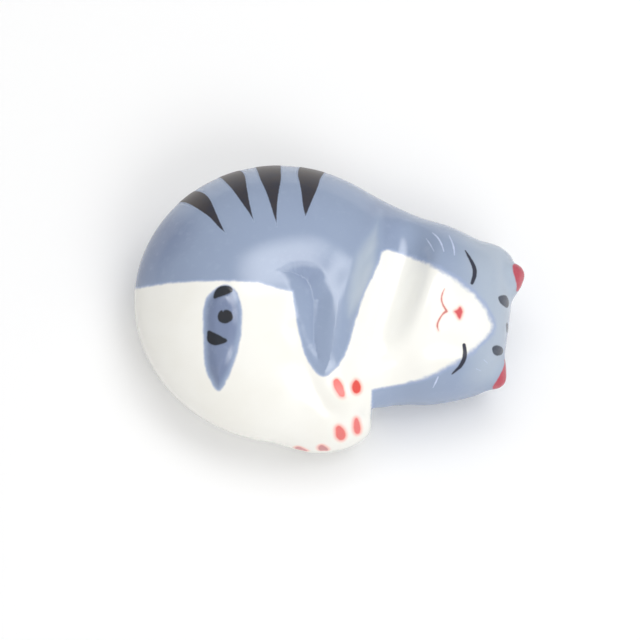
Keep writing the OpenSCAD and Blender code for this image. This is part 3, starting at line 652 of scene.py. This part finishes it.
def blushed(p):
    """How much of a red mark's colour has run into the glaze at a place."""
    warmth = np.zeros(len(p))
    for view, away, reach, most in red_marks:
        q = drawn_in(view, p)
        some = near_side(p, view) & (np.abs(q - (0, 0)) < 8).all(1)
        spread = most * np.exp(-(np.maximum(away(q[some]), 0) / reach) ** 2)
        warmth[some] = np.maximum(warmth[some], spread)
    return warmth


def fired(name, p, facets, material, **marks):
    """A piece as an object, with the form's own slopes as its normals on all that is glazed."""
    mesh = bpy.data.meshes.new(name)
    mesh.vertices.add(len(p))
    mesh.vertices.foreach_set("co", (p * mm).ravel())
    mesh.loops.add(facets.size)
    mesh.loops.foreach_set("vertex_index", facets.ravel().astype(np.int32))
    mesh.polygons.add(len(facets))
    mesh.polygons.foreach_set("loop_start", np.arange(0, facets.size, 3, dtype=np.int32))
    mesh.update(calc_edges=True)
    mesh.validate()
    marks = {"bare": bare_of_stain(p), "dip": hollow(p), "load_and_light": stain_and_painted_light(p), "blush": blushed(p),
             **marks}
    for mark, values in marks.items():
        mesh.attributes.new(mark, "FLOAT", "POINT").data.foreach_set("value", values.astype(np.float32))
    flat = np.cross(p[facets[:, 1]] - p[facets[:, 0]], p[facets[:, 2]] - p[facets[:, 0]])
    flat /= np.maximum(np.linalg.norm(flat, axis=1), 1e-12)[:, None]
    slope = slopes(p)
    slope /= np.maximum(np.linalg.norm(slope, axis=1), 1e-9)[:, None]
    normals = slope[facets]
    inner = (np.einsum("ik,ijk->ij", flat, normals) < 0.5).any(1)
    normals[inner] = flat[inner][:, None]
    mesh.polygons.foreach_set("use_smooth", np.ones(len(facets), bool))
    mesh.normals_split_custom_set(normals.reshape(-1, 3).tolist())
    mesh.materials.append(material)
    piece = bpy.data.objects.new(name, mesh)
    bpy.context.collection.objects.link(piece)
    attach(piece, "root")
    return piece


porcelain_glaze = glazed("porcelain_glaze")
replaced = {"body": ("body", "back_glaze"), "head": ("head", "head_glaze", "face_glaze")}
for name, (p, f) in skins.items():
    piece = fired(name + "_clay", p, f, porcelain_glaze)
    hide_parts(*replaced.get(name, (name,)))


# The painting. Each mark is a brush stroke of enamel, a few hundredths of a millimetre thick,
# laid on the glaze before the last firing, with an edge that has melted a little into it.
def onto_skin(q, view):
    """Where places in a drawing meet the skin, coming from the eye."""
    p = view[0] + q[:, :1] * view[1] + q[:, 1:2] * view[2] + 30 * view[3]
    for _ in range(26):
        p = p - 0.9 * porcelain(p)[:, None] * view[3]
    return settle(p, 1)


def painted(name, node, view, away, low, high, material, cell=0.1, melt=0.16):
    """Lays enamel on the skin where a mark is drawn in a view, as a closed piece only a few hundredths of a
    millimetre thick.
    """
    counts = [int((b - a) / cell) + 2 for a, b in zip(low, high)]
    u, v = np.meshgrid(np.arange(counts[0]), np.arange(counts[1]), indexing="ij")
    q = np.stack([low[0] + cell * u.ravel(), low[1] + cell * v.ravel(), np.zeros(u.size)], 1)
    k = (u * counts[1] + v)[:-1, :-1].ravel()
    squares = np.concatenate([np.stack([k, k + counts[1], k + counts[1] + 1], 1),
                              np.stack([k, k + counts[1] + 1, k + 1], 1)])
    q, facets, within = part_along(q, squares, away(q[:, :2]) - melt, placed=lambda a, b, fresh: fresh)
    q, facets = used_only(q, facets[within])
    p = onto_skin(q[:, :2], view)
    inside = -away(q[:, :2])
    normal = slopes(p)
    normal /= np.linalg.norm(normal, axis=1)[:, None]
    thick = 0.012 + 0.026 * dome(inside + melt, 0.4)
    rim = np.array(list(open_rim(facets).items()))
    n = len(p)
    sides = np.concatenate([np.stack([rim[:, 1], rim[:, 0], rim[:, 0] + n], 1),
                            np.stack([rim[:, 1], rim[:, 0] + n, rim[:, 1] + n], 1)])
    both = np.concatenate([p + normal * thick[:, None], p - normal * 0.04])
    piece = fired(name, both, np.concatenate([facets, facets[:, ::-1] + n, sides]), material,
                  inside=np.concatenate([inside, inside]))
    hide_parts(node)


# The four stripes on the back. Brushed on the blue in near-black enamel, which has fired dull and is made
# warmer towards the foot. Each starts as a fine point beside the belly.
stripe_enamel = glazed("stripe_enamel", tint(52, 54, 66), tint(68, 60, 57), dull=True)
stripe_outlines = {
    132: [(2.58, 7.7), (2.52, 6.61), (2.14, 4.8), (2.0, 2.11), (1.72, -2.22), (1.6, -8.8), (1.19, -12.86),
          (0.18, -13.47), (-1.04, -12.87), (-1.27, -8.8), (-1.13, -3.08), (-0.95, -0.14), (-0.27, 2.49),
          (0.93, 4.85), (1.94, 6.56)],
    113: [(1.12, 8.78), (1.21, 7.73), (1.42, 5.89), (1.55, 2.9), (1.69, -0.53), (1.55, -7.99),
          (0.96, -12.82), (-0.18, -13.42), (-1.4, -12.78), (-1.71, -7.95), (-1.66, -2.65), (-1.47, 0.24),
          (-0.89, 2.6), (-0.1, 5.16), (0.62, 7.25)],
    97: [(0.15, 9.85), (0.52, 8.25), (0.94, 5.99), (1.5, 3.07), (1.69, 0.71), (1.92, -6.71),
         (1.39, -12.72), (0.0, -13.32), (-1.46, -12.67), (-1.99, -6.67), (-1.99, -2.22), (-1.82, 0.18),
         (-1.58, 2.97), (-0.95, 5.55), (-0.31, 7.86)],
    77: [(-1.37, 8.54), (-0.54, 7.34), (0.23, 5.61), (1.18, 3.27), (2.1, 0.26), (2.62, -7.0),
         (2.03, -12.57), (0.52, -13.19), (-0.94, -12.55), (-1.5, -7.0), (-1.57, -2.2), (-1.54, 0.58),
         (-1.7, 2.87), (-1.65, 5.21), (-1.5, 7.26)]}
for i, (azimuth, outline) in enumerate(stripe_outlines.items(), 1):
    outline = smoothed([outline[0]] * 2 + outline[1:], 3)
    painted(f"back_stripe_{i}_enamel", f"back_stripe_{i}", outlook(torso_at, azimuth, 22),
            lambda q: from_line(q, outline), (-2.6, -14), (3.2, 10.4), stripe_enamel, 0.16)


# The three marks on the tail. Short dabs of the same black enamel, a little uneven.
# They lie across the blue tongue of the tail, one at its root and two below.
band_enamel = glazed("band_enamel", tint(38, 43, 51), tint(50, 48, 51), 0.14)
band_outlines = [
    [(-10.3, 0.73), (-10.25, 1.35), (-9.91, 1.95), (-9.4, 2.3), (-8.86, 2.42), (-8.2, 2.35), (-7.75, 2.05),
     (-7.75, 1.7), (-8.3, 1.38), (-9.02, 1.13), (-9.65, 0.92)],
    [(-9.65, -2.13), (-9.5, -1.62), (-9.2, -1.3), (-8.95, -1.55), (-8.7, -1.25), (-8.3, -1.25),
     (-7.85, -1.53), (-7.6, -2.13), (-7.75, -2.6), (-8.15, -2.85), (-8.74, -3.03), (-9.42, -2.75)],
    [(-11.15, -4.35), (-10.5, -4.6), (-9.8, -4.9), (-9.1, -5.3), (-8.44, -5.7), (-9.0, -6.05),
     (-10.03, -6.3), (-10.8, -6.1), (-11.22, -5.7), (-11.25, -5.0)]]
for i, outline in enumerate(band_outlines, 1):
    painted(f"tail_band_{i}_enamel", f"tail_band_{i}", body_view,
            lambda q: from_line(q, smoothed(outline)) - 0.14,
            (-11.7, min(v for u, v in outline) - 0.4), (-7.1, max(v for u, v in outline) + 0.4),
            band_enamel)


# The closed eyes. Two fine curved strokes of black enamel on the face, made with the point of
# a brush, thick in the middle and running out at one end.
eye_enamel = glazed("eye_enamel", tint(50, 54, 70), tint(62, 58, 66), 0.1)
right_eye = stroke((0.1, 0.2, 0.26, 0.31, 0.33, 0.32, 0.25), (3.86, 10.12), (4.36, 9.45),
                   (4.94, 8.64), (5.41, 7.84), (5.64, 7.09), (5.61, 6.21), (5.41, 5.32))
left_eye = stroke((0.28, 0.32, 0.34, 0.33, 0.28, 0.2, 0.09), (5.43, -4.17), (5.69, -5.1),
                  (5.78, -5.85), (5.67, -6.63), (5.32, -7.45), (4.85, -8.09), (4.29, -8.79))
painted("right_eye_enamel", "right_eye_line", face_view, from_any([right_eye]), (3.4, 4.8), (6.3, 10.6),
        eye_enamel, 0.08)
painted("left_eye_enamel", "left_eye_line", face_view, from_any([left_eye]), (3.9, -9.2), (6.5, -3.6),
        eye_enamel, 0.08)


# The nose and the mouth. Thin red enamel on the white of the face: a small three-cornered dab,
# and a fine line in two curves below it, so thin that the white shows through.
nose_enamel = glazed("nose_enamel", tint(208, 74, 80), tint(214, 92, 92), 0.2)
painted("nose_enamel", "nose", face_view, lambda q: from_line(q, nose_outline), (2.9, -0.8), (4.9, 1.8),
        nose_enamel, 0.08)
mouth_enamel = glazed("mouth_enamel", tint(194, 104, 96), tint(190, 116, 106), 0.1)
painted("mouth_enamel", "mouth_line", face_view, from_any(mouth_paths), (0.6, -2.9), (2.6, 4.2),
        mouth_enamel, 0.07)


# The three marks on the forehead. Dabs of grey enamel, two high beside the ears and one
# between them that lies just over the edge of the brow.
crown_view = outlook(head_at, head_turn, 45)
mark_enamel = glazed("mark_enamel", tint(58, 65, 80), tint(84, 93, 108), 0.12)
forehead_outlines = [
    [(0.91, -2.19), (1.61, -2.98), (2.27, -4.3), (2.26, -5.37), (1.92, -5.88), (1.22, -5.86), (0.46, -4.81),
     (0.21, -3.32), (0.37, -2.57)],
    [(-1.25, -6.3), (-1.1, -7.0), (-1.5, -7.65), (-2.2, -7.6), (-2.5, -6.9), (-2.1, -6.25), (-1.65, -6.0)],
    [(-6.94, -3.69), (-6.43, -3.83), (-5.86, -4.82), (-5.43, -6.38), (-5.53, -7.2), (-6.33, -6.81),
     (-7.15, -5.57), (-7.38, -4.48)]]
for i, outline in enumerate(forehead_outlines, 1):
    painted(f"forehead_mark_{i}_enamel", f"forehead_mark_{i}", crown_view, from_any([outline]),
            [min(c) - 0.4 for c in zip(*outline)], [max(c) + 0.4 for c in zip(*outline)],
            mark_enamel, 0.1, 0.1)


# The ear linings. A coat of dark pink enamel on the outer face of each ear, laid on the blue.
# The head is tilted, so the right ear shows more of it than the left.
ear_enamel = glazed("ear_enamel", tint(184, 80, 94), tint(198, 100, 112), 0.12)
painted("right_ear_enamel_mark", "right_ear_enamel", outlook(right_ear_at, head_turn + 30, 20),
        from_any([[(0.75, 1.36), (-0.15, 1.59), (-1.28, 1.23), (-2.16, 0.43), (-2.49, -0.11), (-2.2, -0.9),
                   (-1.2, -1.7), (0.0, -1.7), (1.0, -1.1), (1.5, 0.0), (1.4, 0.8)]]),
        (-3.4, -2.3), (2.1, 2.2), ear_enamel)
painted("left_ear_enamel_mark", "left_ear_enamel", outlook(left_ear_at, head_turn - 30, 20),
        from_any([[(1.93, 0.56), (1.01, 0.71), (-0.26, 0.72), (-1.36, 0.25), (-2.06, -0.65), (-1.8, -1.8),
                   (-0.6, -2.2), (0.8, -1.9), (1.9, -1.0), (2.4, 0.1), (2.3, 0.8)]]),
        (-2.5, -2.8), (3.0, 1.5), ear_enamel)


# The whiskers. Hair-fine strokes of pale enamel on the blue of both cheeks, so thin that they
# are hardly lighter than the glaze.
whisker_enamel = glazed("whisker_enamel", tint(205, 216, 240), tint(196, 208, 236), 0.1)
right_whiskers = [
    stroke((0.03, 0.07, 0.08, 0.03), (-2.25, 11.17), (-1.9, 10.75), (-1.52, 10.27), (-0.92, 9.35), steps=4),
    stroke((0.05, 0.11, 0.11, 0.05), (-1.4, 12.21), (-0.6, 11.6), (0.06, 10.67), (0.55, 9.55), steps=4),
    stroke((0.05, 0.09, 0.12, 0.05), (1.13, 12.16), (1.66, 11.22), (2.03, 10.28), (2.23, 9.22), steps=4)]
left_whiskers = [
    stroke((0.08, 0.1, 0.03), (2.27, -9.52), (2.04, -10.42), (1.81, -11.24), steps=4),
    # The last two are short pale ticks near the left ear, laid with the same enamel.
    (np.array([(8.81, -5.97), (9.47, -6.39)]), (0.03, 0.05, 0.02)),
    (np.array([(7.87, -7.48), (8.59, -7.67)]), (0.03, 0.06, 0.02))]
painted("right_whiskers_enamel", "right_whiskers", face_view, from_any(right_whiskers),
        (-2.7, 8.8), (2.7, 12.7), whisker_enamel, 0.08, 0.12)
painted("left_whiskers_enamel", "left_whiskers", face_view, from_any(left_whiskers),
        (1.4, -11.7), (9.9, -5.5), whisker_enamel, 0.08, 0.12)


# The toes. Two dabs of red enamel on each paw, and two more round the side of the hind paw.
# The red is deepest on the forepaw and paler on the others.
toe_enamels = {"forepaw_toes": glazed("forepaw_toe_enamel", tint(230, 88, 78), tint(220, 84, 84), 0.16),
               "hind_paw_toes": glazed("hind_paw_toe_enamel", tint(240, 122, 120), tint(228, 124, 116), 0.16),
               "side_paw_toes": glazed("side_toe_enamel", tint(214, 146, 148), tint(198, 128, 130), 0.16)}
for name, (view, outlines) in toe_outlines.items():
    spots = [spot for outline in outlines for spot in outline]
    painted(name + "_enamel", name, view, from_any(outlines), [min(c) - 0.4 for c in zip(*spots)],
            [max(c) + 0.4 for c in zip(*spots)], toe_enamels[name], 0.09)


# The table and the light. A plain sheet of white paper under the rest, in a white room, with a
# wide window behind, a soft box overhead on the right and a weaker one in front.
table_reach = 2
paper_white = 0.88
table_mesh = bpy.data.meshes.new("table_top")
table_mesh.from_pydata([(-table_reach, -table_reach, 0), (table_reach, -table_reach, 0),
                        (table_reach, table_reach, 0), (-table_reach, table_reach, 0)], [], [(0, 1, 2, 3)])
table = bpy.data.objects.new("table_top", table_mesh)
bpy.context.collection.objects.link(table)
paper = bpy.data.materials.new("white_paper")
paper.use_nodes = True
paper_nodes = paper.node_tree.nodes
sheet = paper_nodes["Principled BSDF"]
sheet.inputs["Base Color"].default_value = (paper_white, paper_white, paper_white, 1)
sheet.inputs["Roughness"].default_value = 0.9
sheet.inputs["Specular IOR Level"].default_value = 0.1
sheet.inputs["Emission Color"].default_value = (1, 1, 1, 1)
ray = paper_nodes.new("ShaderNodeLightPath")
lift = paper_nodes.new("ShaderNodeMath")
lift.operation = "MULTIPLY"
lift.inputs[1].default_value = 0.06
paper.node_tree.links.new(ray.outputs["Is Camera Ray"], lift.inputs[0])
paper.node_tree.links.new(lift.outputs[0], sheet.inputs["Emission Strength"])
table_mesh.materials.append(paper)

room = bpy.data.worlds.new("white_room")
room.use_nodes = True
walls = room.node_tree.nodes
rise = walls.new("ShaderNodeSeparateXYZ")
room.node_tree.links.new(walls.new("ShaderNodeTexCoord").outputs["Generated"], rise.inputs[0])
dusk = walls.new("ShaderNodeMapRange")
dusk.inputs["From Min"].default_value = -0.1
dusk.inputs["From Max"].default_value = 0.7
dusk.inputs["To Min"].default_value = 0.35
dusk.inputs["To Max"].default_value = 0.58
room.node_tree.links.new(rise.outputs["Z"], dusk.inputs["Value"])
room.node_tree.links.new(dusk.outputs[0], walls["Background"].inputs["Strength"])
walls["Background"].inputs["Color"].default_value = (1, 1, 1, 1)
bpy.context.scene.world = room


def soft_box(name, azimuth, elevation, away, width, height, watts, soft, roll=0, sheen_only=False):
    """A lamp that fades out at its edges. With sheen_only it shows in the glaze but adds no light."""
    a, e = math.radians(azimuth), math.radians(elevation)
    toward = Vector((math.cos(e) * math.cos(a), math.cos(e) * math.sin(a), math.sin(e)))
    lamp = bpy.data.lights.new(name, "AREA")
    lamp.shape = "RECTANGLE"
    lamp.size, lamp.size_y = width, height
    lamp.energy = watts
    lamp.use_nodes = True
    nodes, links = lamp.node_tree.nodes, lamp.node_tree.links
    where = nodes.new("ShaderNodeSeparateXYZ")
    links.new(nodes.new("ShaderNodeNewGeometry").outputs["Parametric"], where.inputs[0])
    fades = []
    for axis in "XY":
        aside = nodes.new("ShaderNodeMath")
        aside.operation = "PINGPONG"
        aside.inputs[1].default_value = 0.5
        links.new(where.outputs[axis], aside.inputs[0])
        fade = nodes.new("ShaderNodeMapRange")
        fade.interpolation_type = "SMOOTHSTEP"
        fade.inputs["From Max"].default_value = soft
        links.new(aside.outputs[0], fade.inputs["Value"])
        fades.append(fade.outputs["Result"])
    both = nodes.new("ShaderNodeMath")
    both.operation = "MULTIPLY"
    links.new(fades[0], both.inputs[0])
    links.new(fades[1], both.inputs[1])
    links.new(both.outputs[0], nodes["Emission"].inputs["Strength"])
    box = bpy.data.objects.new(name, lamp)
    bpy.context.collection.objects.link(box)
    box.location = toward * away
    box.rotation_mode = "QUATERNION"
    box.rotation_quaternion = toward.to_track_quat("Z", "Y") @ Quaternion((0, 0, 1), math.radians(roll))
    box.visible_diffuse = not sheen_only


soft_box("window_box", azimuth=80, elevation=68, away=0.7, width=0.85,
         height=0.42, watts=2.5, soft=0.35, roll=15)
soft_box("window_sheen", azimuth=80, elevation=68, away=0.72, width=0.874,
         height=0.432, watts=4.8, soft=0.35, roll=15, sheen_only=True)
soft_box("side_box", azimuth=0, elevation=68, away=1.0, width=0.65, height=0.65, watts=5.0, soft=0.4)
soft_box("front_box", azimuth=-66, elevation=40, away=1.1, width=0.9, height=0.6, watts=11.1, soft=0.4)
